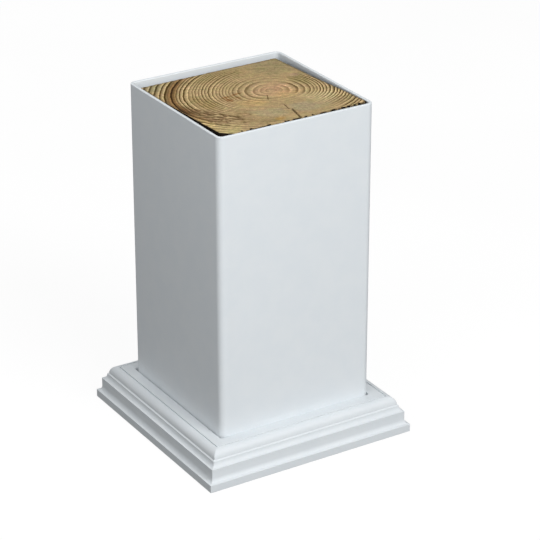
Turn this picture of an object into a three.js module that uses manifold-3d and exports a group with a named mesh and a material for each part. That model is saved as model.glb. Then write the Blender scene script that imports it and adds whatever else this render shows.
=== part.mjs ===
// Square vinyl post sleeve with a moulded base trim, slipped over a sawn timber post.
// Millimetres, +Z up. The origin is on the ground, at the middle of the sleeve's footprint.
// The front face looks along -Y and the left face looks along -X.

import * as THREE from "three";
import { mergeVertices } from "three/addons/utils/BufferGeometryUtils.js";
import Module from "manifold-3d";

// Timber post: a dressed square timber with eased long edges.
const TIMBER_SIDE = 139.7;
const TIMBER_EDGE_RADIUS = 3.5;
const TIMBER_WORN_EDGE_RADIUS = 10;

// The timber stands off centre, so two of its four gaps to the sleeve are narrow.
const TIMBER_PLAY = 7.1;
const TIMBER_RIGHT_GAP = 1.35;
const TIMBER_FRONT_GAP = 2.15;

// The sawn end lies a little below the sleeve's rim and is cut slightly out of square.
const TIMBER_RECESS = 2.2;
const SAW_TILT_RIGHT = 0.55;
const SAW_TILT_BACK = 1.25;

// Drying check: a narrow wedge that opens from inside the sawn end to its front edge.
const CHECK_START_RIGHT = 9.3;
const CHECK_START_FRONT = 35;
const CHECK_END_RIGHT = 3.8;
const CHECK_MOUTH = 1.3;
const CHECK_DEPTH = 14;

// Sleeve: a square tube, open at both ends.
const SLEEVE_HEIGHT = 309.7;
const SLEEVE_WALL = 2.8;
const SLEEVE_CORNER_RADIUS = 6.5;
const SLEEVE_RIM_ROUND = 0.5;

// Base trim: a mitred moulding with its profile's runs and rises named from the sleeve outwards.
const TRIM_WALL = 2.5;
const TRIM_CLEARANCE = 0.5;
const TRIM_CUTOUT_RADIUS = 2.7;
const TOP_FLAT_RUN = 10.8;
const GROOVE_WIDTH = 0.8;
const GROOVE_DEPTH = 0.6;
const OVOLO_RUN = 6.9;
const OVOLO_RISE = 7.4;
const UPPER_LEDGE_RUN = 1.2;
const UPPER_LEDGE_RISE = 0.8;
const SCOTIA_RUN = 3.7;
const SCOTIA_RISE = 5.1;
const FILLET_RISE = 7.8;
const COVE_RUN = 3.0;
const COVE_RISE = 4.4;
const PLINTH_LEDGE_RUN = 0.8;
const PLINTH_LEDGE_RISE = 0.3;
const PLINTH_RISE = 7.0;

// Facets: steps in each quarter turn of a rounded corner, a rim edge and a moulding's arc.
const CORNER_STEPS = 8;
const RIM_STEPS = 3;
const MOULDING_STEPS = 8;
const MERGE_TOLERANCE = 1e-4;

const wasm = await Module();
wasm.setup();

const insideSide = TIMBER_SIDE + TIMBER_PLAY;
const insideHalf = insideSide / 2;
const sleeveHalf = insideHalf + SLEEVE_WALL;

const vinyl = { color: 0xdcdfe2, roughness: 0.45, metalness: 0 };
const timber = { color: 0x9a8a66, roughness: 0.9, metalness: 0 };

// A rectangle with rounded corners, drawn into a Shape or a Path.
// The radii run front left, front right, back right, back left.
function roundedRectangle(outline, left, front, right, back, radii) {
  const [frontLeft, frontRight, backRight, backLeft] = radii;
  outline.moveTo(left + frontLeft, front);
  outline.lineTo(right - frontRight, front);
  outline.absarc(right - frontRight, front + frontRight, frontRight, -Math.PI / 2, 0);
  outline.lineTo(right, back - backRight);
  outline.absarc(right - backRight, back - backRight, backRight, 0, Math.PI / 2);
  outline.lineTo(left + backLeft, back);
  outline.absarc(left + backLeft, back - backLeft, backLeft, Math.PI / 2, Math.PI);
  outline.lineTo(left, front + frontLeft);
  outline.absarc(left + frontLeft, front + frontLeft, frontLeft, Math.PI, Math.PI * 1.5);
  return outline;
}

function roundedSquare(outline, half, radius) {
  return roundedRectangle(outline, -half, -half, half, half, [radius, radius, radius, radius]);
}

// The same body with its shared corners merged and only positions kept.
function weld(geometry) {
  geometry.deleteAttribute("normal");
  geometry.deleteAttribute("uv");
  return mergeVertices(geometry, MERGE_TOLERANCE);
}

function toSolid(geometry) {
  const welded = weld(geometry);
  const vertProperties = new Float32Array(welded.attributes.position.array);
  const triVerts = new Uint32Array(welded.index.array);
  return new wasm.Manifold(new wasm.Mesh({ numProp: 3, vertProperties, triVerts }));
}

function toGeometry(solid) {
  const mesh = solid.getMesh();
  const geometry = new THREE.BufferGeometry();
  geometry.setAttribute("position", new THREE.BufferAttribute(mesh.vertProperties, mesh.numProp));
  geometry.setIndex(new THREE.BufferAttribute(mesh.triVerts, 1));
  return geometry;
}

function piece(name, geometry, look) {
  geometry.computeVertexNormals();
  const mesh = new THREE.Mesh(geometry, new THREE.MeshStandardMaterial(look));
  mesh.name = name;
  return mesh;
}

// Sleeve

function makeSleeve() {
  const outline = roundedSquare(new THREE.Shape(), sleeveHalf, SLEEVE_CORNER_RADIUS);
  const bore = roundedSquare(new THREE.Path(), insideHalf, SLEEVE_CORNER_RADIUS - SLEEVE_WALL);
  outline.holes.push(bore);
  const tube = new THREE.ExtrudeGeometry(outline, {
    depth: SLEEVE_HEIGHT - 2 * SLEEVE_RIM_ROUND,
    curveSegments: CORNER_STEPS,
    bevelThickness: SLEEVE_RIM_ROUND,
    bevelSize: SLEEVE_RIM_ROUND,
    bevelOffset: -SLEEVE_RIM_ROUND,
    bevelSegments: RIM_STEPS,
  });
  tube.translate(0, 0, SLEEVE_RIM_ROUND);
  return weld(tube);
}

// Base trim

// Points on a quarter of an ellipse, from one angle to another, both ends included.
function quarter(centreRun, centreRise, run, rise, startAngle, endAngle) {
  const points = [];
  for (let step = 0; step <= MOULDING_STEPS; step += 1) {
    const angle = startAngle + (endAngle - startAngle) * (step / MOULDING_STEPS);
    const across = centreRun + run * Math.cos(angle);
    const up = centreRise + rise * Math.sin(angle);
    points.push(new THREE.Vector2(across, up));
  }
  return points;
}

// The trim's section as a closed loop of half width and height, down the face and back up inside.
function trimSection() {
  const rawHalf = sleeveHalf - SLEEVE_CORNER_RADIUS;
  const grooveHalf = sleeveHalf + TRIM_CLEARANCE + TOP_FLAT_RUN;
  const ovoloHalf = grooveHalf + OVOLO_RUN;
  const scotiaHalf = ovoloHalf + UPPER_LEDGE_RUN;
  const filletHalf = scotiaHalf + SCOTIA_RUN;
  const coveHalf = filletHalf + COVE_RUN;
  const plinthHalf = coveHalf + PLINTH_LEDGE_RUN;

  const coveFoot = PLINTH_RISE + PLINTH_LEDGE_RISE;
  const filletFoot = coveFoot + COVE_RISE;
  const scotiaFoot = filletFoot + FILLET_RISE;
  const ledgeFoot = scotiaFoot + SCOTIA_RISE;
  const ovoloFoot = ledgeFoot + UPPER_LEDGE_RISE;
  const top = ovoloFoot + OVOLO_RISE;

  const at = (across, up) => new THREE.Vector2(across, up);
  const right = 0;
  const up = Math.PI / 2;
  const left = Math.PI;
  const down = Math.PI * 1.5;

  const face = [
    at(rawHalf, top),
    at(grooveHalf - GROOVE_WIDTH, top),
    at(grooveHalf - GROOVE_WIDTH / 2, top - GROOVE_DEPTH),
    ...quarter(grooveHalf, ovoloFoot, OVOLO_RUN, OVOLO_RISE, up, right),
    ...quarter(filletHalf, ledgeFoot, SCOTIA_RUN, SCOTIA_RISE, left, down),
    ...quarter(coveHalf, filletFoot, COVE_RUN, COVE_RISE, left, down),
    at(plinthHalf, PLINTH_RISE),
    at(plinthHalf, 0),
  ];
  const inside = [
    at(plinthHalf - TRIM_WALL, 0),
    at(plinthHalf - TRIM_WALL, PLINTH_RISE - TRIM_WALL),
    at(filletHalf - TRIM_WALL, filletFoot - TRIM_WALL),
    at(filletHalf - TRIM_WALL, scotiaFoot - TRIM_WALL),
    at(scotiaHalf - TRIM_WALL, ledgeFoot - TRIM_WALL),
    ...quarter(grooveHalf, ovoloFoot, OVOLO_RUN - TRIM_WALL, OVOLO_RISE - TRIM_WALL, right, up),
    at(rawHalf, top - TRIM_WALL),
  ];
  return [...face, ...inside];
}

// A closed section carried round a square with mitred corners.
function mitredRing(section) {
  const corners = [[-1, -1], [-1, 1], [1, 1], [1, -1]];
  const positions = [];
  for (const [alongX, alongY] of corners) {
    for (const point of section) {
      positions.push(alongX * point.x, alongY * point.x, point.y);
    }
  }
  const count = section.length;
  const indices = [];
  for (let corner = 0; corner < corners.length; corner += 1) {
    const here = corner * count;
    const next = ((corner + 1) % corners.length) * count;
    for (let point = 0; point < count; point += 1) {
      const after = (point + 1) % count;
      indices.push(here + point, next + point, next + after);
      indices.push(here + point, next + after, here + after);
    }
  }
  const geometry = new THREE.BufferGeometry();
  geometry.setAttribute("position", new THREE.Float32BufferAttribute(positions, 3));
  geometry.setIndex(indices);
  return geometry;
}

function makeBaseTrim() {
  const moulding = toSolid(mitredRing(trimSection()));
  const cutHalf = sleeveHalf + TRIM_CLEARANCE;
  const outline = roundedSquare(new THREE.Shape(), cutHalf, TRIM_CUTOUT_RADIUS);
  const cutter = new THREE.ExtrudeGeometry(outline, {
    depth: SLEEVE_HEIGHT,
    curveSegments: CORNER_STEPS,
    bevelEnabled: false,
  });
  return toGeometry(moulding.subtract(toSolid(cutter)));
}

// Timber post

function makeTimberPost() {
  const right = insideHalf - TIMBER_RIGHT_GAP;
  const left = right - TIMBER_SIDE;
  const front = -insideHalf + TIMBER_FRONT_GAP;
  const back = front + TIMBER_SIDE;
  const radii = [TIMBER_WORN_EDGE_RADIUS, TIMBER_EDGE_RADIUS, TIMBER_EDGE_RADIUS, TIMBER_EDGE_RADIUS];
  const outline = roundedRectangle(new THREE.Shape(), left, front, right, back, radii);
  const middleX = (left + right) / 2;
  const middleY = (front + back) / 2;
  const middleHeight = SLEEVE_HEIGHT - TIMBER_RECESS;
  const post = new THREE.ExtrudeGeometry(outline, {
    depth: middleHeight,
    curveSegments: CORNER_STEPS,
    bevelEnabled: false,
  });

  const slopeX = Math.tan(THREE.MathUtils.degToRad(SAW_TILT_RIGHT));
  const slopeY = -Math.tan(THREE.MathUtils.degToRad(SAW_TILT_BACK));
  const position = post.attributes.position;
  for (let index = 0; index < position.count; index += 1) {
    if (position.getZ(index) > 0) {
      const across = position.getX(index) - middleX;
      const along = position.getY(index) - middleY;
      position.setZ(index, middleHeight + slopeX * across + slopeY * along);
    }
  }

  const startX = middleX + CHECK_START_RIGHT;
  const startY = middleY - CHECK_START_FRONT;
  const endX = middleX + CHECK_END_RIGHT;
  const endY = front - TIMBER_FRONT_GAP;
  const wedge = new THREE.Shape();
  wedge.moveTo(startX, startY);
  wedge.lineTo(endX - CHECK_MOUTH / 2, endY);
  wedge.lineTo(endX + CHECK_MOUTH / 2, endY);
  const check = new THREE.ExtrudeGeometry(wedge, { depth: 2 * CHECK_DEPTH, bevelEnabled: false });
  check.translate(0, 0, middleHeight - CHECK_DEPTH);
  return toGeometry(toSolid(post).subtract(toSolid(check)));
}

const postSleeve = new THREE.Group();
postSleeve.name = "vinyl_post_sleeve";
postSleeve.add(piece("sleeve", makeSleeve(), vinyl));
postSleeve.add(piece("base_trim", makeBaseTrim(), vinyl));
postSleeve.add(piece("timber_post", makeTimberPost(), timber));

export default postSleeve;
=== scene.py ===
"""Looks of the square vinyl post sleeve, its moulded base trim and the sawn timber post inside it.

Metres, +Z up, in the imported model's own frame. The front face looks along -Y, the left face along -X.
"""
import math

import bpy
import numpy as np
from mathutils import Matrix, Vector


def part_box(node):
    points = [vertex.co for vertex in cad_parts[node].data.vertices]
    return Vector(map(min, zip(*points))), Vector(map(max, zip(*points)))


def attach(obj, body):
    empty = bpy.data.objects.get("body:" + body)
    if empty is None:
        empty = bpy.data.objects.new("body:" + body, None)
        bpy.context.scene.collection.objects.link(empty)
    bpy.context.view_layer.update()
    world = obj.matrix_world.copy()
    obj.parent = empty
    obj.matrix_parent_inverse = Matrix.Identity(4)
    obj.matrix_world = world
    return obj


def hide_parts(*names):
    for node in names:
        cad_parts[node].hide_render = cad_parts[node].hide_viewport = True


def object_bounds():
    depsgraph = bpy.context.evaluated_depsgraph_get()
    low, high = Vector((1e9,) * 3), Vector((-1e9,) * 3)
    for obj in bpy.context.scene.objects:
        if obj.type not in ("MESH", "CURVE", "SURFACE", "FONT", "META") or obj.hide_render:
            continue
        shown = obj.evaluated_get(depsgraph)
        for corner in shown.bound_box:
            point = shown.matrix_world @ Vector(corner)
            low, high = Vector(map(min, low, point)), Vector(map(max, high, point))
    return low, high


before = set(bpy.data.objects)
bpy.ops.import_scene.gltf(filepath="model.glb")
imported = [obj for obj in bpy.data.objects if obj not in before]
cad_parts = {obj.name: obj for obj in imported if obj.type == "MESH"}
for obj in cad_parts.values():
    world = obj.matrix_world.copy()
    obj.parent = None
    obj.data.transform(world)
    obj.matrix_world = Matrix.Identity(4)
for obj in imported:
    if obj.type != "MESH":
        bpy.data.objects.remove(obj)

MM = 0.001
CAD_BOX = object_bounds()

# Camera: where it stands, how long its lens is and what its middle looks at.
CAMERA_AZIMUTH = math.radians(31.846)
CAMERA_ELEVATION = math.radians(25.188)
CAMERA_DISTANCE = 2107.4 * MM
CAMERA_LENS = 155.25
CAMERA_SENSOR = 36.0
AIM_SIDEWAYS = 17.0 * MM
AIM_UPWARDS = 129.5 * MM

# Mesh: steps round each upright corner, each moulding's curve and each rounded edge, the least turn
# that is rounded, and the most of a side that its arc takes.
CORNER_STEPS = 14
ARC_STEPS = 16
EDGE_STEPS = 3
SHARP_TURN = math.radians(22)
EDGE_SHARE = 0.45

# Sleeve
SLEEVE_WALL = 2.8 * MM
SLEEVE_CORNER = 6.5 * MM
SLEEVE_OUTER_EDGE = 0.9 * MM
SLEEVE_INNER_EDGE = 1.1 * MM
SLEEVE_EDGE_STEPS = 6

# Base trim: the runs and rises of its profile, from the sleeve outwards and from the ground up.
TRIM_WALL = 2.5 * MM
TRIM_CLEARANCE = 0.5 * MM
TRIM_CUTOUT_CORNER = 2.1 * MM
TRIM_CORNER = 0.7 * MM
TRIM_EDGE = 0.3 * MM
# The part of the section, next to the cut-out, that has the cut-out's corner and its slip to one side.
TRIM_CUTOUT_REACH = 1.5 * TRIM_EDGE
TRIM_SLIP_X = -0.3 * MM
TRIM_SLIP_Y = 0.35 * MM
TOP_FLAT_RUN = 10.8 * MM
GROOVE_WIDTH = 0.9 * MM
GROOVE_DEPTH = 1.4 * MM
OVOLO_RUN = 6.9 * MM
OVOLO_RISE = 7.4 * MM
UPPER_LEDGE_RUN = 1.2 * MM
UPPER_LEDGE_RISE = 0.8 * MM
SCOTIA_RUN = 3.7 * MM
SCOTIA_RISE = 5.1 * MM
FILLET_RISE = 7.8 * MM
COVE_RUN = 3.0 * MM
COVE_RISE = 4.4 * MM
PLINTH_LEDGE_RUN = 0.8 * MM
PLINTH_LEDGE_RISE = 0.3 * MM
PLINTH_RISE = 7.0 * MM

# The levels that a noise mostly keeps to.
NOISE_LEVELS = (0.3, 0.7)

# Vinyl: scale, detail and roughness of each noise, heights of the relief, and levels of each finish.
SLEEVE_ROUGHNESS = 0.42
SLEEVE_TONE = 1.0
TRIM_ROUGHNESS = 0.5
TRIM_TONE = 0.945
VINYL_MOTTLE = (55.0, 4.0, 0.6)
VINYL_GLOSS = (180.0, 3.0, 0.6)
GLOSS_BELOW = 0.03
GLOSS_ABOVE = 0.04
VINYL_PEEL = (900.0, 2.0, 0.5)
PEEL_HEIGHT = 0.012 * MM
DRAWN_LINES = (1.0, 3.0, 0.6)
DRAWN_SCALE = (700.0, 700.0, 4.0)
DRAWN_HEIGHT = 0.02 * MM
RIM_MARKS = (1.0, 2.0, 0.6)
RIM_MARK_SIZE = (9 * MM, 0.6 * MM)
SAWN_RIM_START = 0.8 * MM
SAWN_RIM_FULL = 0.1 * MM
SAWN_RIM_TONE = 0.99
SAWN_RIM_TONE_RANGE = 0.04
SAWN_RIM_DULLNESS = 0.25
VINYL_IOR = 1.5
VINYL_SPECULAR = 0.4

# Timber end. The pith's place, and each growth ring's dark line: its radius in mm and how dark it is.
PITH = (20.0 * MM, -1.5 * MM)
RING_LINES = ((4.8, 0.35), (9.3, 0.35), (15, 0.45), (22.3, 0.75), (28.2, 0.6), (33, 0.65), (36, 0.6),
              (38.7, 0.5), (41.5, 0.8), (44.1, 0.85), (47, 0.6), (50, 0.85), (53.6, 1.0), (56.5, 0.7),
              (59.3, 1.0), (62.2, 0.6), (65, 0.7), (67.5, 0.6), (70.5, 0.45), (75, 1.0), (78.5, 0.9),
              (81, 0.5), (85.3, 0.95), (91, 1.0), (95, 0.7), (100, 0.7), (105, 0.6), (110, 0.6), (116, 0.6))
# The tone past the last line, and the shift in rings that puts each line's darkest part at its radius.
OUTERMOST_TONE = 0.6
LINE_LEAD = 0.1
# The rings' lean to one side: number of lobes, and each one's share along cosine and along sine.
RING_LOBES = ((1, 0.04, 0.085), (2, 0.02, 0.0), (3, -0.018, -0.018))
# The outer rings' bulge: its share of the radius, its direction, and the radii over which it grows.
RING_BULGE = 0.06
BULGE_WAY = math.radians(240)
BULGE_SPAN = (58 * MM, 74 * MM)
# How strongly the rings show, and what they lose from one radius to another and where wood is torn.
RING_STRENGTH = 0.3
RING_FADE = 0.12
RING_FADE_SPAN = (30 * MM, 42 * MM)
RING_TORN_LOSS = 0.5
RING_MOST = 1.8
# Fans in which the rings show more or less: middle and half spread in degrees, strength, and its gain
# with the square of the radius.
RING_FANS = ((155, 84, 0.5, 0.11), (-12, 50, 0.55, 0.5), (-44, 30, -0.35, 0.38))
FAN_GAIN_RADIUS = 40 * MM
FAN_SPAN = (0.45, 1.0)

# Timber's plan: its grid, its turn and shift in the sleeve, and how far its edges wane and swell.
TIMBER_GRID = 264
TIMBER_TURN = math.radians(1.3)
TIMBER_SHIFT = -0.9 * MM
TIMBER_EDGE_CORNER = 3.5 * MM
TIMBER_WORN_CORNER = 9.0 * MM
TIMBER_WANE = 1.55 * MM
TIMBER_SWELL_FRONT = 2.4 * MM
TIMBER_SWELL_BACK = 1.8 * MM
RIGHT_WANE_SPAN = (-42 * MM, 5 * MM)
BACK_WANE_SPAN = (10 * MM, 70 * MM)
FRONT_SWELL_SPAN = (-20 * MM, 60 * MM)
BACK_SWELL_SPAN = (30 * MM, -70 * MM)
ROUGH_EDGE = 0.2 * MM
ROUGH_EDGE_LUMPS = (1.0, 3 * MM, 11)
ROUGH_EDGE_DEPTH = 4 * MM
SAWN_END_THICKNESS = 6 * MM
# Rows of points down its sides, as shares of the way from the sawn end to the foot.
SIDE_ROWS = (0.004, 0.01, 0.02, 0.04, 0.08, 0.16, 0.3, 0.5, 0.75, 1.0)
TIMBER_SHARP_EDGE = math.radians(50)

# Lumps over the sawn end: height, size and seed of each kind.
RING_WANDER = (0.4 * MM, 24 * MM, 1)
RING_WANDER_SPAN = (5 * MM, 20 * MM)
RING_RIPPLE = (0.3 * MM, 7 * MM, 2)
SAW_MARKS = (0.06 * MM, 46 * MM, 21)
SAW_MARK_LENGTH = 14
SAWN_GRIT = (0.04 * MM, 1.8 * MM, 22)
TORN_LUMPS = (0.25 * MM, 3 * MM, 23)
TORN_STRETCH = (0.6, 1.5)
PATCH_RAGS = (0.22, 9 * MM, 31)
PATCH_FRINGE = (0.12, 3 * MM, 32)
PATCH_SPAN = (0.45, 1.2)
STROKE_RAG = (0.12 * MM, 2 * MM, 41)
STROKE_SPAN = (0.3, 1.0)
WEAR_JITTER = (0.8 * MM, 3 * MM, 51)

# Depths of the sawn end's relief.
RING_RELIEF = 0.07 * MM
RING_CREST = 0.1
ARRIS_DROP = 0.35 * MM
ARRIS_REACH = 0.8 * MM
TEAR_DEPTH = 0.5 * MM
CRACK_DEPTH = 6.0 * MM
BROKEN_DEPTH = 7 * MM
FRAYED_DEPTH = 3.5 * MM

# Directions of the saw's marks and of the torn fibre.
SAW_WAY = math.radians(-32)
DASH_WAY = math.radians(-46)

# Cracks in the sawn end: start and end in mm, width in mm and share of the drying check's depth.
CRACKS = (((11.6, -36), (9.2, -47), 1.0, 0.45),
          ((11.4, -48.5), (6.0, -72), 1.9, 1.0),
          ((12.0, -8), (7.0, -18), 0.9, 0.3))

# Wear of the front left and front right corners: how far it reaches in from the corner.
BROKEN_SPAN = (9.0 * MM, 9.8 * MM)
CHIPPED_SPAN = (2.2 * MM, 2.8 * MM)
CHIP_JITTER = 0.4
# Nicks along the front edge, and the bites out of it: middle, width and reach into the wood in mm.
NICK_REACH = 1.2 * MM
NICK_LUMPS = (1.0, 3.6 * MM, 13)
NICK_FULL = 0.4
FRAY_SLOPE = 0.5 * MM
BITES = ((-50.6, 1.8, 3.0), (-41.9, 3.0, 3.0), (-24.5, 4.2, 1.9), (-9, 2.4, 1.8), (17.8, 2.0, 1.9),
         (38.2, 4.0, 1.9), (47.5, 4.2, 2.1), (53.0, 4.0, 2.0), (59.1, 3.2, 2.1), (63.7, 3.2, 2.2))
BITE_SPAN = (0.7, 1.3)

# Painted shadow and shade on the sawn end: how far the painted shadow in the pits spreads, and where
# painted shade lies inside the edges.
PIT_SHADOW_MARGIN = 1.2 * MM
PIT_SHADOW_SPAN = (0.05, 0.5)
EDGE_SHADE_SPAN = (0.2 * MM, 0.7 * MM)
SHADE_SPAN = (0.8 * MM, 3.6 * MM)
SHADE_SIDE_SPAN = (-10 * MM, 55 * MM)

# The torn zone in front of the left side, as middle and reaches in mm and turn in degrees.
TORN_ZONE = ((-48, -32), (30, 13), -56)
# Torn spots in it: start and end in mm, width in mm and strength.
TEARS = (((-44.5, -25.1), (-42.9, -28.2), 2.8, 0.9), ((-44.0, -30.0), (-42.9, -33.3), 2.8, 0.9),
         ((-39.8, -31.6), (-39.6, -34.9), 2.6, 0.8), ((-38.3, -36.5), (-35.7, -42.1), 2.6, 0.8),
         ((-51.6, -34.9), (-50.8, -38.6), 2.6, 0.8), ((-58.8, -40.6), (-57.8, -43.1), 2.4, 0.8),
         ((-56.6, -44.0), (-55.6, -45.9), 2.4, 0.8), ((-53.4, -48.7), (-51.5, -51.9), 2.6, 0.8),
         ((-59.7, -16.5), (-56.7, -22.4), 2.8, 0.8), ((-26.3, -35.9), (-24.0, -40.7), 2.4, 0.6),
         ((-32.1, -49.0), (-28.1, -53.1), 2.2, 0.5), ((-50.9, -20.7), (-47.8, -24.1), 2.8, 0.8),
         ((-61.5, -34.9), (-59.9, -38.0), 2.4, 0.7), ((-48.8, -43.8), (-46.4, -44.8), 2.2, 0.6),
         ((-51.8, -11.1), (-52.2, -18.5), 2.6, 0.6), ((-35.8, -29.9), (-29.8, -34.1), 1.8, 0.5))

# Stains on the sawn end: middle and reaches in mm, turn in degrees, and colour as a multiple.
STAINS = (((23, 1), (22, 19), 0, (1.10, 0.99, 1.08)),
          ((28, -15), (15, 9), 15, (1.09, 1.07, 1.0)),
          ((-9, -18), (15, 11), -30, (1.17, 1.11, 1.0)),
          ((-19, 3), (10, 8), 20, (0.96, 0.90, 0.86)),
          ((-20, 6), (6.5, 2.2), 0, (0.62, 0.46, 0.34)),
          ((-9, 8), (6.5, 2.0), 8, (0.72, 0.56, 0.44)),
          ((-21, -1.5), (2.6, 5), 17, (0.66, 0.50, 0.40)),
          ((-12, -0.5), (1.8, 3.4), 15, (0.72, 0.56, 0.46)),
          ((62, -56), (15, 12), 0, (0.80, 0.81, 0.80)),
          ((-27, -36), (10, 9), 0, (0.88, 0.86, 0.86)),
          ((-42, 4), (9, 22), 8, (0.78, 0.77, 0.66)),
          ((-61, -6), (8, 13), 0, (0.58, 0.50, 0.45)),
          ((-62, 62), (13, 11), 0, (0.72, 0.80, 0.86)),
          ((-2, 55), (40, 14), 0, (0.82, 0.84, 0.77)),
          ((52, 50), (24, 26), 0, (0.80, 0.86, 0.88)),
          ((56, 12), (9, 16), 0, (0.80, 0.84, 0.74)),
          ((57, 21), (6, 5), 0, (1.15, 1.05, 1.35)),
          ((48, -36), (17, 14), -30, (1.10, 1.18, 1.24)),
          ((25, -50), (20, 13), -20, (0.91, 1.0, 1.16)),
          ((-8, -45), (17, 10), -32, (0.97, 1.06, 1.18)),
          (*TORN_ZONE, (0.68, 0.63, 0.62)),
          ((-65, -38), (5, 20), 0, (1.3, 1.32, 1.22)),
          ((-57, -60), (13, 11), 0, (1.14, 1.23, 1.15)),
          ((-16, -63), (16, 6), 0, (0.79, 0.80, 0.76)),
          ((-9, -63), (6, 4), 0, (1.2, 1.0, 0.75)))
# The red band among the outer rings: its radii, its fan of directions and its colour as a multiple.
RED_BAND_START = (79 * MM, 82.5 * MM)
RED_BAND_END = (87.5 * MM, 91.5 * MM)
RED_BAND_FAN = (160, 54)
RED_BAND = (0.47, 0.37, 0.28)

# Sawn wood: scale, detail and roughness of each noise.
WARMTH_NOISE = (60.0, 3.0, 0.6)
BLOTCH_NOISE = (130.0, 3.0, 0.6)
MOTTLE_NOISE = (330.0, 3.0, 0.65)
RING_FRAY_NOISE = (420.0, 3.0, 0.6)
FIBRE_NOISE = (1100.0, 2.0, 0.6)
NAP_NOISE = (1500.0, 3.0, 0.7)
SAW_NOISE = (1.0, 3.0, 0.6)
TORN_NOISE = (1.0, 2.0, 0.6)
SAW_SIZE = (46 * MM, 3.2 * MM)
TORN_SIZE = (8.5 * MM, 2.5 * MM)
# Sawn wood: the part of each ring that is pale or dark, and the noise levels and tones of each mark.
RING_FRAY = 0.35
EARLY_SPAN = (0.42, 0.08)
LATE_RISE = (0.48, 0.8)
LATE_FALL = (1.0, 0.95)
BLOTCH_SPAN = (0.32, 0.68)
MOTTLE_TONES = (0.84, 1.16)
SAW_TONES = (0.9, 1.1)
FIBRE_TONES = (0.82, 1.14)
RAISED_SPAN = (0.47, 0.36, 0.0, 0.5)
DASH_SPAN = (0.53, 0.63, 0.0, 0.8)
EDGE_SHADE_STRENGTH = 0.7
WOOD_ROUGHNESS = (0.75, 0.95)
WOOD_SPECULAR = 0.15
NAP_HEIGHT = 0.12 * MM

# Dressed sides of the timber
LONG_GRAIN_NOISE = (1.0, 5.0, 0.65)
LONG_GRAIN_SCALE = (420.0, 420.0, 7.0)
LONG_GRAIN_HEIGHT = 0.15 * MM
LONG_GRAIN_ROUGHNESS = 0.85
# Painted shade of the gap inside the sleeve, darkening the sides to near black: how far below the top it
# starts and where it is full.
GAP_SHADE_START = 45 * MM
GAP_SHADE_FULL = 8 * MM

# Lights: direction round the post from the front and height, both in degrees, distance and width in
# metres, and level.
KEY_LIGHT = (8, 39, 2.8, 1.4, 0.66)
SIDE_LIGHT = (300, 30, 1.1, 0.9, 0.325)
BACK_LIGHT = (180, 50, 2.5, 1.6, 0.25)
ROOM_ABOVE = 0.25
ROOM_BELOW = 0.06
ROOM_HORIZON = 0.3
# The white floor's light: the way that it comes from, and its level.
FLOOR_WAY = (0.0, -0.914, -0.405)
FLOOR_LIGHT = 0.29
FLOOR_HALF = 9.0
FLOOR_GLOW = 0.91
FLOOR_TONES = (0.1, 0.11)
FLOOR_NOISE_SCALE = 3.0


def rgb(red, green, blue):
    return (red, green, blue, 1.0)


WHITE = rgb(1.0, 1.0, 1.0)
VINYL_WHITE = rgb(0.745, 0.785, 0.812)
VINYL_COOL = rgb(0.725, 0.77, 0.802)
PLAIN_WOOD = rgb(0.418, 0.308, 0.158)
PLAIN_WOOD_WARM = rgb(0.463, 0.335, 0.164)
EARLY_WOOD = rgb(0.74, 0.56, 0.294)
LATE_WOOD = rgb(0.085, 0.048, 0.008)
GREEN_CAST = rgb(0.95, 1.0, 0.94)
PINK_CAST = rgb(1.05, 0.99, 1.03)
DASH_COLOUR = rgb(0.075, 0.042, 0.014)
# Painted shade inside the sawn end's edges.
EDGE_SHADE_COLOUR = rgb(0.12, 0.092, 0.055)
# Painted shadow, near black, in the sawn end's pits and cracks and on the sides in the gap inside the
# sleeve.
PAINTED_SHADOW_COLOUR = rgb(0.012, 0.008, 0.005)
LONG_GRAIN_DARK = rgb(0.16, 0.11, 0.055)
LONG_GRAIN_PALE = rgb(0.30, 0.22, 0.12)


# Mesh helpers

def smooth_step(low, high, value):
    """0 at low and 1 at high, with a smooth rise between them; low may be the higher number."""
    t = np.clip((value - low) / (high - low), 0, 1)
    return t * t * (3 - 2 * t)


def lattice(ix, iy, seed):
    """A repeatable number from 0 to 1 for each whole-number place."""
    value = np.sin(ix * 127.1 + iy * 311.7 + seed * 74.7) * 43758.5453
    return value - np.floor(value)


def lumps(x, y, kind):
    """Smooth noise over the plane, of a kind given as its height, the size of its lumps and its seed."""
    height, size, seed = kind
    u = x / size
    v = y / size
    iu = np.floor(u)
    iv = np.floor(v)
    fu = u - iu
    fv = v - iv
    fu = fu * fu * (3 - 2 * fu)
    fv = fv * fv * (3 - 2 * fv)
    low = lattice(iu, iv, seed) * (1 - fu) + lattice(iu + 1, iv, seed) * fu
    high = lattice(iu, iv + 1, seed) * (1 - fu) + lattice(iu + 1, iv + 1, seed) * fu
    return height * (2 * (low * (1 - fv) + high * fv) - 1)


def square_ring(half, corner, centre=(0.0, 0.0)):
    """Points and outward directions round a square with rounded corners, anticlockwise from above."""
    points = []
    directions = []
    for quarter in range(4):
        start = quarter * math.pi / 2 - math.pi / 2
        across = 1 if quarter in (0, 1) else -1
        along = 1 if quarter in (1, 2) else -1
        for step in range(CORNER_STEPS + 1):
            angle = start + step / CORNER_STEPS * math.pi / 2
            way = (math.cos(angle), math.sin(angle))
            points.append((centre[0] + across * (half - corner) + corner * way[0],
                           centre[1] + along * (half - corner) + corner * way[1]))
            directions.append(way)
    return np.array(points), np.array(directions)


def section_normals(section):
    """The outward direction at each point of a closed section, steered by its longer neighbour."""
    ahead = np.roll(section, -1, axis=0) - section
    facing = np.stack([ahead[:, 1], -ahead[:, 0]], axis=1)
    total = facing + np.roll(facing, 1, axis=0)
    return total / np.linalg.norm(total, axis=1)[:, None]


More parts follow.
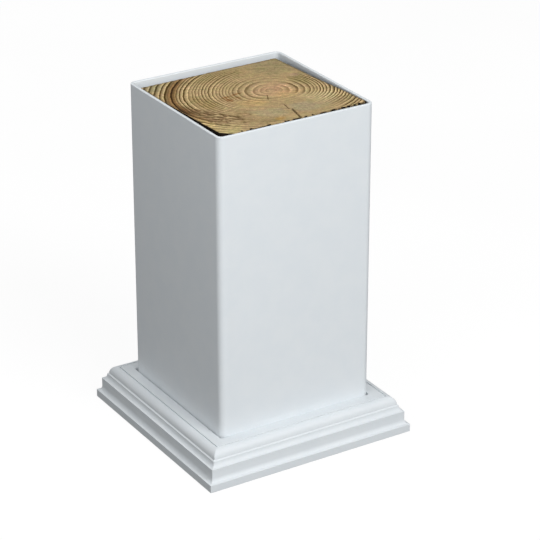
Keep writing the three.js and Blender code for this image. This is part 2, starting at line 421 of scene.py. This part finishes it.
def make_object(name, positions, faces, normals=None):
    """A smooth-shaded object, with normals of its own if any are given."""
    mesh = bpy.data.meshes.new(name)
    mesh.from_pydata([tuple(p) for p in positions], [], faces)
    mesh.polygons.foreach_set("use_smooth", [True] * len(mesh.polygons))
    mesh.validate()
    if normals is not None:
        mesh.normals_split_custom_set_from_vertices([tuple(n) for n in normals])
    piece = bpy.data.objects.new(name, mesh)
    bpy.context.scene.collection.objects.link(piece)
    return piece


def sweep_square(name, section, corners, centres):
    """A closed section of (half width, height), anticlockwise, carried round a square."""
    slopes = section_normals(section)
    positions = []
    normals = []
    for (half, height), (out, up), corner, centre in zip(section, slopes, corners, centres):
        points, directions = square_ring(half, corner, centre)
        for point, way in zip(points, directions):
            positions.append((point[0], point[1], height))
            normals.append((out * way[0], out * way[1], up))
    count = 4 * (CORNER_STEPS + 1)
    rings = len(section)
    faces = []
    for ring in range(rings):
        above = (ring + 1) % rings
        for k in range(count):
            after = (k + 1) % count
            faces.append((ring * count + k, ring * count + after,
                          above * count + after, above * count + k))
    return make_object(name, positions, faces, normals)


def round_edges(points, radii, steps):
    """A closed section with each sharp corner turned by a small arc of its own radius."""
    count = len(points)
    rounded = []
    for index in range(count):
        here = np.array(points[index])
        back = np.array(points[index - 1]) - here
        ahead = np.array(points[(index + 1) % count]) - here
        back_length = np.linalg.norm(back)
        ahead_length = np.linalg.norm(ahead)
        cosine = np.clip(back @ ahead / (back_length * ahead_length), -1, 1)
        turn = math.pi - math.acos(cosine)
        if turn < SHARP_TURN:
            rounded.append(tuple(here))
            continue
        reach = min(radii[index] * math.tan(turn / 2), EDGE_SHARE * back_length, EDGE_SHARE * ahead_length)
        first = here + back / back_length * reach
        last = here + ahead / ahead_length * reach
        for step in range(steps + 1):
            t = step / steps
            rounded.append(tuple((1 - t) ** 2 * first + 2 * t * (1 - t) * here + t ** 2 * last))
    return np.array(rounded)


def arc(centre_half, centre_height, run, rise, start, end):
    """Points of a section along a quarter of an oval, from one angle to another."""
    points = []
    for step in range(ARC_STEPS + 1):
        angle = start + (end - start) * step / ARC_STEPS
        points.append((centre_half + run * math.cos(angle), centre_height + rise * math.sin(angle)))
    return points


# Node helpers

class Shader:
    """A material with a Principled surface, and short calls for the nodes that feed it."""

    def __init__(self, name):
        self.material = bpy.data.materials.new(name)
        self.material.use_nodes = True
        self.tree = self.material.node_tree
        self.surface = self.tree.nodes["Principled BSDF"]
        self.place = self.add("ShaderNodeTexCoord").outputs["Object"]

    def add(self, kind, **settings):
        node = self.tree.nodes.new(kind)
        for key, value in settings.items():
            setattr(node, key, value)
        return node

    def put(self, socket, value):
        """Links a socket, or sets a plain value on it."""
        if isinstance(value, bpy.types.NodeSocket):
            self.tree.links.new(value, socket)
        else:
            socket.default_value = value

    def finish(self, colour, roughness, normal=None):
        """Feeds the surface its colour, its roughness and its normal."""
        self.put(self.surface.inputs["Base Color"], colour)
        self.put(self.surface.inputs["Roughness"], roughness)
        if normal is not None:
            self.put(self.surface.inputs["Normal"], normal)

    def math(self, operation, first, second=0.0):
        node = self.add("ShaderNodeMath", operation=operation)
        self.put(node.inputs[0], first)
        self.put(node.inputs[1], second)
        return node.outputs[0]

    def scaled_place(self, x, y, z):
        node = self.add("ShaderNodeVectorMath", operation="MULTIPLY")
        self.put(node.inputs[0], self.place)
        self.put(node.inputs[1], (x, y, z))
        return node.outputs[0]

    def turned_place(self, turn, along, across):
        """Object coordinates in lengths of along and across, the first of them turned from +X."""
        node = self.add("ShaderNodeMapping", vector_type="TEXTURE")
        self.put(node.inputs["Vector"], self.place)
        node.inputs["Rotation"].default_value = (0, 0, turn)
        node.inputs["Scale"].default_value = (along, across, across)
        return node.outputs[0]

    def height(self):
        """Height above the ground."""
        node = self.add("ShaderNodeSeparateXYZ")
        self.put(node.inputs[0], self.place)
        return node.outputs["Z"]

    def grey(self, value):
        node = self.add("ShaderNodeCombineColor")
        for socket in node.inputs[:3]:
            self.put(socket, value)
        return node.outputs[0]

    def noise(self, scale, detail=2.0, roughness=0.5, place=None):
        node = self.add("ShaderNodeTexNoise")
        self.put(node.inputs["Vector"], place if place is not None else self.place)
        self.put(node.inputs["Scale"], scale)
        self.put(node.inputs["Detail"], detail)
        self.put(node.inputs["Roughness"], roughness)
        return node.outputs["Fac"]

    def attribute(self, name, output="Fac"):
        return self.add("ShaderNodeAttribute", attribute_name=name).outputs[output]

    def span(self, value, low, high, to_low=0.0, to_high=1.0):
        node = self.add("ShaderNodeMapRange", interpolation_type="SMOOTHSTEP")
        self.put(node.inputs["Value"], value)
        self.put(node.inputs["From Min"], low)
        self.put(node.inputs["From Max"], high)
        self.put(node.inputs["To Min"], to_low)
        self.put(node.inputs["To Max"], to_high)
        return node.outputs["Result"]

    def spread(self, noise, to_low=0.0, to_high=1.0):
        """Stretches the levels that a noise mostly keeps to over another range."""
        return self.span(noise, *NOISE_LEVELS, to_low, to_high)

    def mix(self, factor, first, second, blend="MIX"):
        node = self.add("ShaderNodeMix", data_type="RGBA", blend_type=blend)
        self.put(node.inputs[0], factor)
        self.put(node.inputs[6], first)
        self.put(node.inputs[7], second)
        return node.outputs[2]

    def times(self, first, second):
        """One colour multiplied by another."""
        return self.mix(1.0, first, second, "MULTIPLY")

    def bump(self, height, distance, before=None):
        node = self.add("ShaderNodeBump")
        self.put(node.inputs["Height"], height)
        self.put(node.inputs["Distance"], distance)
        self.put(node.inputs["Strength"], 1.0)
        if before is not None:
            self.put(node.inputs["Normal"], before)
        return node.outputs["Normal"]


# Sleeve and base trim

def vinyl_material(name, roughness, tone, sawn_at=None):
    """White rigid vinyl with a faint mottle, and if it is extruded, fine lines and a dull sawn rim."""
    shader = Shader(name)
    mottle = shader.noise(*VINYL_MOTTLE)
    vinyl = shader.mix(shader.spread(mottle), VINYL_COOL, VINYL_WHITE)
    vinyl = shader.times(vinyl, rgb(tone, tone, tone))
    gloss = shader.noise(*VINYL_GLOSS)
    gloss = shader.spread(gloss, roughness - GLOSS_BELOW, roughness + GLOSS_ABOVE)
    peel = shader.bump(shader.noise(*VINYL_PEEL), PEEL_HEIGHT)
    if sawn_at is not None:
        lines = shader.noise(*DRAWN_LINES, shader.scaled_place(*DRAWN_SCALE))
        peel = shader.bump(lines, DRAWN_HEIGHT, peel)
        rim = shader.span(shader.height(), sawn_at - SAWN_RIM_START, sawn_at - SAWN_RIM_FULL)
        marks = shader.noise(*RIM_MARKS, shader.turned_place(SAW_WAY, *RIM_MARK_SIZE))
        darkest = SAWN_RIM_TONE - SAWN_RIM_TONE_RANGE
        lightest = SAWN_RIM_TONE + SAWN_RIM_TONE_RANGE
        dull = shader.grey(shader.spread(marks, darkest, lightest))
        vinyl = shader.times(vinyl, shader.mix(rim, WHITE, dull))
        gloss = shader.math("ADD", gloss, shader.math("MULTIPLY", rim, SAWN_RIM_DULLNESS))
    shader.finish(vinyl, gloss, peel)
    shader.surface.inputs["IOR"].default_value = VINYL_IOR
    shader.surface.inputs["Specular IOR Level"].default_value = VINYL_SPECULAR
    return shader.material


def make_sleeve():
    """The extruded tube, with its rim's edges a little rounded."""
    low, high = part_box("sleeve")
    half = high.x
    outline = [(half, low.z), (half, high.z), (half - SLEEVE_WALL, high.z), (half - SLEEVE_WALL, low.z)]
    radii = (SLEEVE_OUTER_EDGE, SLEEVE_OUTER_EDGE, SLEEVE_INNER_EDGE, SLEEVE_INNER_EDGE)
    section = round_edges(outline, radii, SLEEVE_EDGE_STEPS)
    corners = [SLEEVE_CORNER - (half - point[0]) for point in section]
    centres = [(0.0, 0.0)] * len(section)
    piece = sweep_square("vinyl_sleeve", section, corners, centres)
    piece.data.materials.append(vinyl_material("sleeve_vinyl", SLEEVE_ROUGHNESS, SLEEVE_TONE, high.z))
    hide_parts("sleeve")
    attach(piece, "root")


def trim_outline(cut_half):
    """The trim's section: up its face from the ground, over the top to the cut-out, and down its hollow."""
    groove_half = cut_half + TOP_FLAT_RUN
    ovolo_half = groove_half + OVOLO_RUN
    scotia_half = ovolo_half + UPPER_LEDGE_RUN
    fillet_half = scotia_half + SCOTIA_RUN
    cove_half = fillet_half + COVE_RUN
    plinth_half = cove_half + PLINTH_LEDGE_RUN

    fillet_foot = PLINTH_RISE + PLINTH_LEDGE_RISE + COVE_RISE
    scotia_foot = fillet_foot + FILLET_RISE
    ledge_foot = scotia_foot + SCOTIA_RISE
    ovolo_foot = ledge_foot + UPPER_LEDGE_RISE
    top = ovolo_foot + OVOLO_RISE

    right = 0.0
    up = math.pi / 2
    left = math.pi
    down = math.pi * 1.5
    face = [(plinth_half, 0.0), (plinth_half, PLINTH_RISE)]
    face += arc(cove_half, fillet_foot, COVE_RUN, COVE_RISE, down, left)
    face += arc(fillet_half, ledge_foot, SCOTIA_RUN, SCOTIA_RISE, down, left)
    face += arc(groove_half, ovolo_foot, OVOLO_RUN, OVOLO_RISE, right, up)
    face += [(groove_half, top - GROOVE_DEPTH), (groove_half - GROOVE_WIDTH, top - GROOVE_DEPTH)]
    face += [(groove_half - GROOVE_WIDTH, top)]
    face += [(cut_half, top), (cut_half, top - TRIM_WALL)]
    inside = arc(groove_half, ovolo_foot, OVOLO_RUN - TRIM_WALL, OVOLO_RISE - TRIM_WALL, up, right)
    inside += [(scotia_half - TRIM_WALL, ledge_foot - TRIM_WALL),
               (fillet_half - TRIM_WALL, scotia_foot - TRIM_WALL),
               (fillet_half - TRIM_WALL, fillet_foot - TRIM_WALL),
               (plinth_half - TRIM_WALL, PLINTH_RISE - TRIM_WALL),
               (plinth_half - TRIM_WALL, 0.0)]
    return face + inside


def make_trim():
    """The moulded skirt, whose cut-out has its own corners and sits a little off its middle."""
    cut_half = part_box("sleeve")[1].x + TRIM_CLEARANCE
    outline = trim_outline(cut_half)
    section = round_edges(outline, [TRIM_EDGE] * len(outline), EDGE_STEPS)
    corners = []
    centres = []
    for point in section:
        at_cut = point[0] < cut_half + TRIM_CUTOUT_REACH
        corners.append(TRIM_CUTOUT_CORNER if at_cut else TRIM_CORNER)
        centres.append((TRIM_SLIP_X, TRIM_SLIP_Y) if at_cut else (0.0, 0.0))
    piece = sweep_square("moulded_base_trim", section, corners, centres)
    piece.data.materials.append(vinyl_material("trim_vinyl", TRIM_ROUGHNESS, TRIM_TONE))
    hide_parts("base_trim")
    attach(piece, "root")


# Timber: its looks at each place

def from_pith(x, y):
    """Distance from the pith, with the rings' lean to one side taken out, and direction in radians."""
    across = x - PITH[0]
    along = y - PITH[1]
    angle = np.arctan2(along, across)
    stretch = 1
    for lobes, cosine, sine in RING_LOBES:
        stretch = stretch + cosine * np.cos(lobes * angle) + sine * np.sin(lobes * angle)
    radius = np.hypot(across, along) / stretch
    radius /= 1 + RING_BULGE * np.cos(angle - BULGE_WAY) * smooth_step(*BULGE_SPAN, radius)
    radius += lumps(x, y, RING_WANDER) * smooth_step(*RING_WANDER_SPAN, radius)
    radius += lumps(x, y, RING_RIPPLE)
    return radius, angle


def fan(angle, middle, spread):
    """1 within a fan of directions round the pith, falling smoothly to 0 at its sides."""
    turn = np.abs((angle - math.radians(middle) + math.pi) % (2 * math.pi) - math.pi)
    return 1 - smooth_step(*FAN_SPAN, turn / math.radians(spread))


def growth_rings(x, y):
    """Growth in rings from the pith outwards, and how strongly the ring shows at each place."""
    radius, angle = from_pith(x, y)
    lines = np.array([0.0] + [line[0] for line in RING_LINES]) * MM
    tones = np.array([line[1] for line in RING_LINES] + [OUTERMOST_TONE])
    growth = np.maximum(np.interp(radius, lines, np.arange(len(lines))) - LINE_LEAD, 0)
    shown = RING_STRENGTH - RING_FADE * smooth_step(*RING_FADE_SPAN, radius)
    for middle, spread, strength, outwards in RING_FANS:
        gain = strength + outwards * (radius / FAN_GAIN_RADIUS) ** 2
        shown = shown + gain * fan(angle, middle, spread)
    shown = shown * (1 - RING_TORN_LOSS * torn_fibre(x, y))
    return growth, np.clip(shown * tones[np.floor(growth).astype(int)], 0, RING_MOST)


def patch(x, y, middle, reach, turn):
    """1 inside a soft, ragged oval with its middle and reaches in mm, 0 outside it."""
    c = math.cos(math.radians(turn))
    s = math.sin(math.radians(turn))
    across = x / MM - middle[0]
    along = y / MM - middle[1]
    u = (across * c + along * s) / reach[0]
    v = (along * c - across * s) / reach[1]
    ragged = lumps(x, y, PATCH_RAGS) + lumps(x, y, PATCH_FRINGE)
    return 1 - smooth_step(*PATCH_SPAN, np.hypot(u, v) + ragged)


def torn_fibre(x, y):
    """1 where the saw tore the wood instead of cutting it."""
    return patch(x, y, *TORN_ZONE)


def stains(x, y):
    """Colour of the wood at each place, as a multiple of its plain colour."""
    colour = np.ones(x.shape + (3,))
    for middle, reach, turn, multiple in STAINS:
        weight = patch(x, y, middle, reach, turn)[..., None]
        colour = colour * (1 + weight * (np.array(multiple) - 1))
    radius, angle = from_pith(x, y)
    band = smooth_step(*RED_BAND_START, radius) * (1 - smooth_step(*RED_BAND_END, radius))
    band = (band * fan(angle, *RED_BAND_FAN))[..., None]
    return colour * (1 + band * (np.array(RED_BAND) - 1))


def stroke(x, y, start, end, width):
    """1 along a narrow stroke between two places in mm, pointed at its ends."""
    first = np.array(start) * MM
    run = np.array(end) * MM - first
    share = np.clip(((x - first[0]) * run[0] + (y - first[1]) * run[1]) / (run @ run), 0, 1)
    away = np.hypot(x - first[0] - share * run[0], y - first[1] - share * run[1])
    away = away + lumps(x, y, STROKE_RAG)
    return 1 - smooth_step(*STROKE_SPAN, np.clip(away, 0, None) / (width * MM / 2))


def strokes(x, y, places):
    """The strongest of several strokes at each place, each given as start, end, width and strength."""
    total = np.zeros_like(x)
    for start, end, width, strength in places:
        total = np.maximum(total, strength * stroke(x, y, start, end, width))
    return total


def worn(u, v, front, margin):
    """1 where an arris is broken away, and where the front edge is bitten, both grown by a margin."""
    low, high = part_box("timber_post")
    jitter = lumps(u, v, WEAR_JITTER)
    broken = 1 - smooth_step(*BROKEN_SPAN, (u - low.x) + front + jitter - margin)
    chipped = 1 - smooth_step(*CHIPPED_SPAN, (high.x - u) + front + CHIP_JITTER * jitter - margin)
    reach = NICK_REACH * smooth_step(0.0, NICK_FULL, lumps(u, 0 * v, NICK_LUMPS))
    for middle, width, depth in BITES:
        off = np.abs(u + jitter / 2 - middle * MM) / (width * MM / 2)
        reach = np.maximum(reach, depth * MM * (1 - smooth_step(*BITE_SPAN, off)))
    frayed = smooth_step(0.0, FRAY_SLOPE, reach + np.minimum(margin, reach / 2) - front)
    return np.maximum(broken, chipped), frayed


# Timber: its shape

def round_corner(x, y, side_x, side_y, corner):
    """Draws a grid's square corner in to a round one."""
    middle_x = side_x - math.copysign(corner, side_x)
    middle_y = side_y - math.copysign(corner, side_y)
    u = (x - middle_x) / (side_x - middle_x)
    v = (y - middle_y) / (side_y - middle_y)
    inside = (u > 0) & (v > 0)
    new_x = middle_x + (side_x - middle_x) * u * np.sqrt(np.clip(1 - v * v / 2, 0, 1))
    new_y = middle_y + (side_y - middle_y) * v * np.sqrt(np.clip(1 - u * u / 2, 0, 1))
    return np.where(inside, new_x, x), np.where(inside, new_y, y)


def timber_middle():
    """The middle of the timber's plan, across and along."""
    low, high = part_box("timber_post")
    return (low.x + high.x) / 2, (low.y + high.y) / 2


def timber_plan():
    """The grid over the sawn end in the post's plan, its depth inside the edge and behind the front."""
    low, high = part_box("timber_post")
    share = np.linspace(0, 1, TIMBER_GRID + 1)
    u, v = np.meshgrid(low.x + (high.x - low.x) * share, low.y + (high.y - low.y) * share, indexing="ij")
    front = v - low.y
    inset = np.minimum(np.minimum(u - low.x, high.x - u), np.minimum(front, high.y - v))
    u, v = round_corner(u, v, low.x, low.y, TIMBER_WORN_CORNER)
    for side_u, side_v in ((high.x, low.y), (high.x, high.y), (low.x, high.y)):
        u, v = round_corner(u, v, side_u, side_v, TIMBER_EDGE_CORNER)
    middle_u, middle_v = timber_middle()
    hold = np.clip(1 - inset / ROUGH_EDGE_DEPTH, 0, 1) ** 2
    rough = ROUGH_EDGE * (1 + lumps(u, v, ROUGH_EDGE_LUMPS))
    pull = hold * rough / np.maximum(np.hypot(u - middle_u, v - middle_v), MM)
    u = u - (u - middle_u) * pull
    v = v - (v - middle_v) * pull
    right = smooth_step(middle_u, high.x, u)
    back = smooth_step(middle_v, high.y, v)
    ahead = smooth_step(middle_v, low.y, v)
    u = u - TIMBER_WANE * right * smooth_step(*RIGHT_WANE_SPAN, v)
    v = v - TIMBER_WANE * back * smooth_step(*BACK_WANE_SPAN, u)
    v = v - TIMBER_SWELL_FRONT * ahead * smooth_step(*FRONT_SWELL_SPAN, u)
    v = v + TIMBER_SWELL_BACK * back * smooth_step(*BACK_SWELL_SPAN, u)
    return u, v, inset, front


def turn_timber(u, v):
    """Places in the post's own plan carried to where it stands, turned a little inside the sleeve."""
    middle_u, middle_v = timber_middle()
    c = math.cos(TIMBER_TURN)
    s = math.sin(TIMBER_TURN)
    x = middle_u + TIMBER_SHIFT + (u - middle_u) * c - (v - middle_v) * s
    y = middle_v + (u - middle_u) * s + (v - middle_v) * c
    return x, y


def saw_plane():
    """Height of the sawn end as (level, slope along X, slope along Y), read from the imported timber."""
    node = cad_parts["timber_post"]
    corners = np.array([v.co for v in node.data.vertices])
    edge = corners[corners[:, 2] > corners[:, 2].max() - SAWN_END_THICKNESS]
    terms = np.stack([np.ones(len(edge)), edge[:, 0], edge[:, 1]], axis=1)
    return np.linalg.lstsq(terms, edge[:, 2], rcond=None)[0]


def sawn_relief(x, y, inset, growth, shown, broken, frayed):
    """The sawn end's height above its plane: rings, saw marks, torn fibre, worn edges and cracks."""
    relief = RING_RELIEF * np.cos(2 * math.pi * (growth - RING_CREST)) * np.minimum(shown, 1)
    along = x * math.cos(SAW_WAY) + y * math.sin(SAW_WAY)
    across = y * math.cos(SAW_WAY) - x * math.sin(SAW_WAY)
    relief += lumps(along, across * SAW_MARK_LENGTH, SAW_MARKS)
    relief += lumps(x, y, SAWN_GRIT)
    relief += torn_fibre(x, y) * lumps(x * TORN_STRETCH[0], y * TORN_STRETCH[1], TORN_LUMPS)
    relief -= ARRIS_DROP * np.clip(1 - inset / ARRIS_REACH, 0, 1) ** 2
    relief -= TEAR_DEPTH * strokes(x, y, TEARS)
    return relief - BROKEN_DEPTH * broken - FRAYED_DEPTH * frayed - CRACK_DEPTH * strokes(x, y, CRACKS)


def dark_marks(x, y, u, v, inset, front):
    """Where the sawn end gets painted shadow in its pits, where painted shade lies inside its edge, and
    where it is torn.
    """
    broken, frayed = worn(u, v, front, PIT_SHADOW_MARGIN)
    # Painted shadow, near black, fills the broken corners, bites and cracks.
    shadowed_pits = np.maximum(np.maximum(broken, frayed), strokes(x, y, CRACKS))
    # Painted shade: a thin strip inside every edge, and a wider one inside the back and right edges.
    painted_shade = 1 - smooth_step(*EDGE_SHADE_SPAN, inset)
    shade = (1 - smooth_step(*SHADE_SPAN, inset)) * smooth_step(*SHADE_SIDE_SPAN, np.maximum(u, v))
    return {"pit_shadow": smooth_step(*PIT_SHADOW_SPAN, shadowed_pits),
            "edge": np.maximum(shade, painted_shade),
            "tear": strokes(x, y, TEARS)}


def timber_mesh():
    """Points and faces of the post: the sawn end first, then its sides in rows, and its foot."""
    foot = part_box("timber_post")[0].z
    u, v, inset, front = timber_plan()
    x, y = turn_timber(u, v)
    growth, shown = growth_rings(x, y)
    level, slope_x, slope_y = saw_plane()
    broken, frayed = worn(u, v, front, 0)
    relief = sawn_relief(x, y, inset, growth, shown, broken, frayed)
    z = level + slope_x * x + slope_y * y + relief
    end = np.stack([x, y, z], axis=2).reshape(-1, 3)
    side = TIMBER_GRID + 1
    index = np.arange(side * side).reshape(side, side)
    quads = np.stack([index[:-1, :-1], index[1:, :-1], index[1:, 1:], index[:-1, 1:]], axis=2)
    faces = quads.reshape(-1, 4).tolist()
    end_faces = len(faces)
    rim = np.concatenate([index[:-1, 0], index[-1, :-1], index[:0:-1, -1], index[0, :0:-1]])
    rows = [end]
    upper = rim
    for share in SIDE_ROWS:
        row = end[rim].copy()
        row[:, 2] += (foot - row[:, 2]) * share
        lower = np.arange(len(rim)) + sum(len(r) for r in rows)
        rows.append(row)
        faces += np.stack([upper, lower, np.roll(lower, -1), np.roll(upper, -1)], axis=1).tolist()
        upper = lower
    faces.append(upper[::-1].tolist())
    return np.concatenate(rows), faces, end_faces, dark_marks(x, y, u, v, inset, front)


def store(piece, name, values):
    """Keeps a number for each point, 0 for the points past the end of the list."""
    layer = piece.data.attributes.new(name, "FLOAT", "POINT")
    full = np.zeros(len(piece.data.vertices), dtype=np.float32)
    full[:len(values)] = values
    layer.data.foreach_set("value", full)


def end_grain_material():
    """The sawn end: growth rings, stains, saw marks, torn fibre, painted shade inside its edges, and
    painted shadow in the pits where wood is gone.
    """
    shader = Shader("timber_end_grain")
    fray = shader.math("SUBTRACT", shader.noise(*RING_FRAY_NOISE), 0.5)
    fray = shader.math("MULTIPLY", fray, RING_FRAY)
    ring = shader.math("FRACT", shader.math("ADD", shader.attribute("growth"), fray))
    shown = shader.attribute("shown")
    early = shader.math("MULTIPLY", shader.span(ring, *EARLY_SPAN), shown)
    early = shader.math("MINIMUM", early, 1.0)
    late = shader.math("MULTIPLY", shader.span(ring, *LATE_RISE), shader.span(ring, *LATE_FALL))
    late = shader.math("MINIMUM", shader.math("MULTIPLY", late, shown), 1.0)
    wood = shader.mix(shader.spread(shader.noise(*WARMTH_NOISE)), PLAIN_WOOD, PLAIN_WOOD_WARM)
    wood = shader.mix(early, wood, EARLY_WOOD)
    wood = shader.mix(late, wood, LATE_WOOD)
    wood = shader.times(wood, shader.attribute("stain", "Color"))

    blotch = shader.span(shader.noise(*BLOTCH_NOISE), *BLOTCH_SPAN)
    wood = shader.times(wood, shader.mix(blotch, GREEN_CAST, PINK_CAST))
    mottle = shader.noise(*MOTTLE_NOISE)
    saw = shader.noise(*SAW_NOISE, shader.turned_place(SAW_WAY, *SAW_SIZE))
    fibre = shader.noise(*FIBRE_NOISE)
    for noise, tones in ((mottle, MOTTLE_TONES), (saw, SAW_TONES), (fibre, FIBRE_TONES)):
        wood = shader.times(wood, shader.grey(shader.spread(noise, *tones)))

    torn = shader.attribute("torn")
    fibres = shader.noise(*TORN_NOISE, shader.turned_place(DASH_WAY, *TORN_SIZE))
    raised = shader.math("MULTIPLY", shader.span(fibres, *RAISED_SPAN), torn)
    wood = shader.mix(raised, wood, EARLY_WOOD)
    dashes = shader.math("MULTIPLY", shader.span(fibres, *DASH_SPAN), torn)
    wood = shader.mix(shader.math("MAXIMUM", dashes, shader.attribute("tear")), wood, DASH_COLOUR)
    # Painted shade inside the edges.
    wood = shader.mix(shader.math("MULTIPLY", shader.attribute("edge"), EDGE_SHADE_STRENGTH), wood, EDGE_SHADE_COLOUR)
    # Painted shadow, near black, in the broken corners, bites and cracks.
    wood = shader.mix(shader.attribute("pit_shadow"), wood, PAINTED_SHADOW_COLOUR)
    nap = shader.bump(shader.noise(*NAP_NOISE), NAP_HEIGHT)
    shader.finish(wood, shader.spread(fibre, *WOOD_ROUGHNESS), nap)
    shader.surface.inputs["Specular IOR Level"].default_value = WOOD_SPECULAR
    return shader.material


def long_grain_material():
    """The dressed sides: streaked along the post, and painted shade, near black, towards the sawn end,
    where they stand in the gap inside the sleeve.
    """
    shader = Shader("timber_long_grain")
    grain = shader.noise(*LONG_GRAIN_NOISE, shader.scaled_place(*LONG_GRAIN_SCALE))
    wood = shader.mix(shader.spread(grain), LONG_GRAIN_DARK, LONG_GRAIN_PALE)
    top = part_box("timber_post")[1].z
    # Painted shade of the gap inside the sleeve: the sides darken to near black towards the sawn end.
    painted_shade = shader.span(shader.height(), top - GAP_SHADE_START, top - GAP_SHADE_FULL)
    wood = shader.mix(painted_shade, wood, PAINTED_SHADOW_COLOUR)
    shader.finish(wood, LONG_GRAIN_ROUGHNESS, shader.bump(grain, LONG_GRAIN_HEIGHT))
    shader.surface.inputs["Specular IOR Level"].default_value = WOOD_SPECULAR
    return shader.material


def make_timber():
    """The post, with what its end's material reads kept on its points."""
    points, faces, end_faces, marks = timber_mesh()
    piece = make_object("sawn_timber_post", points, faces)
    piece.data.materials.append(end_grain_material())
    piece.data.materials.append(long_grain_material())
    slots = np.ones(len(faces), dtype=np.int32)
    slots[:end_faces] = 0
    piece.data.polygons.foreach_set("material_index", slots)
    x = points[:, 0]
    y = points[:, 1]
    growth, shown = growth_rings(x, y)
    store(piece, "growth", growth)
    store(piece, "shown", shown)
    store(piece, "torn", torn_fibre(x, y))
    for name, values in marks.items():
        store(piece, name, values.reshape(-1))
    layer = piece.data.attributes.new("stain", "FLOAT_COLOR", "POINT")
    colour = np.concatenate([stains(x, y), np.ones((len(points), 1))], axis=1)
    layer.data.foreach_set("color", colour.astype(np.float32).reshape(-1))
    piece.data.set_sharp_from_angle(angle=TIMBER_SHARP_EDGE)
    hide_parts("timber_post")
    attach(piece, "root")


# Stage

def make_floor():
    """A pale floor that lights nothing itself, so that it stays even and white."""
    half = FLOOR_HALF
    positions = [(-half, -half, 0), (half, -half, 0), (half, half, 0), (-half, half, 0)]
    floor = make_object("studio_floor", positions, [(0, 1, 2, 3)])
    shader = Shader("studio_floor")
    tone = shader.spread(shader.noise(FLOOR_NOISE_SCALE), *FLOOR_TONES)
    shader.finish(shader.grey(tone), 1.0)
    shader.surface.inputs["Specular IOR Level"].default_value = 0.0
    shader.surface.inputs["Emission Color"].default_value = WHITE
    shader.surface.inputs["Emission Strength"].default_value = FLOOR_GLOW
    floor.data.materials.append(shader.material)
    floor.visible_diffuse = False
    floor.visible_glossy = False


def make_light(name, azimuth, elevation, distance, width, level):
    """A round soft light that looks at the middle of the post."""
    lamp = bpy.data.lights.new(name, "AREA")
    lamp.shape = "DISK"
    lamp.size = width
    lamp.energy = (math.pi * distance) ** 2 * level
    light = bpy.data.objects.new(name, lamp)
    turn = math.radians(azimuth)
    rise = math.radians(elevation)
    way = Vector((math.sin(turn) * math.cos(rise), -math.cos(turn) * math.cos(rise), math.sin(rise)))
    light.location = Vector((0, 0, CAD_BOX[1].z / 2)) + distance * way
    light.rotation_euler = way.to_track_quat("Z", "Y").to_euler()
    bpy.context.scene.collection.objects.link(light)
    return light


def make_room():
    """Even light from all round, weaker from below except where the white floor in front gives it back."""
    world = bpy.data.worlds.new("studio")
    world.use_nodes = True
    nodes = world.node_tree.nodes
    links = world.node_tree.links
    place = nodes.new("ShaderNodeTexCoord")
    split = nodes.new("ShaderNodeSeparateXYZ")
    level = nodes.new("ShaderNodeMapRange")
    links.new(place.outputs["Generated"], split.inputs[0])
    links.new(split.outputs["Z"], level.inputs["Value"])
    level.inputs["From Min"].default_value = -ROOM_HORIZON
    level.inputs["From Max"].default_value = ROOM_HORIZON
    level.inputs["To Min"].default_value = ROOM_BELOW
    level.inputs["To Max"].default_value = ROOM_ABOVE
    front = nodes.new("ShaderNodeVectorMath")
    front.operation = "DOT_PRODUCT"
    links.new(place.outputs["Generated"], front.inputs[0])
    front.inputs[1].default_value = FLOOR_WAY
    floor = nodes.new("ShaderNodeMapRange")
    links.new(front.outputs["Value"], floor.inputs["Value"])
    floor.inputs["To Max"].default_value = FLOOR_LIGHT
    total = nodes.new("ShaderNodeMath")
    links.new(level.outputs["Result"], total.inputs[0])
    links.new(floor.outputs["Result"], total.inputs[1])
    links.new(total.outputs[0], nodes["Background"].inputs["Strength"])
    nodes["Background"].inputs["Color"].default_value = WHITE
    bpy.context.scene.world = world


def make_camera():
    """The camera, at the photograph's angle and distance."""
    look = Vector((math.sin(CAMERA_AZIMUTH) * math.cos(CAMERA_ELEVATION),
                   math.cos(CAMERA_AZIMUTH) * math.cos(CAMERA_ELEVATION),
                   -math.sin(CAMERA_ELEVATION)))
    side = Vector((math.cos(CAMERA_AZIMUTH), -math.sin(CAMERA_AZIMUTH), 0))
    up = side.cross(look)
    place = side * AIM_SIDEWAYS + up * AIM_UPWARDS - look * CAMERA_DISTANCE
    lens = bpy.data.cameras.new("camera")
    lens.sensor_width = CAMERA_SENSOR
    lens.lens = CAMERA_LENS
    camera = bpy.data.objects.new("camera", lens)
    turn = Matrix((side, up, -look)).transposed().to_4x4()
    camera.matrix_world = Matrix.Translation(place) @ turn
    bpy.context.scene.collection.objects.link(camera)
    bpy.context.scene.camera = camera


make_camera()
make_light("key_light", *KEY_LIGHT)
make_light("side_light", *SIDE_LIGHT)
make_light("back_light", *BACK_LIGHT).visible_glossy = False
make_room()
make_floor()
make_sleeve()
make_trim()
make_timber()

bpy.context.scene.view_settings.view_transform = "Standard"
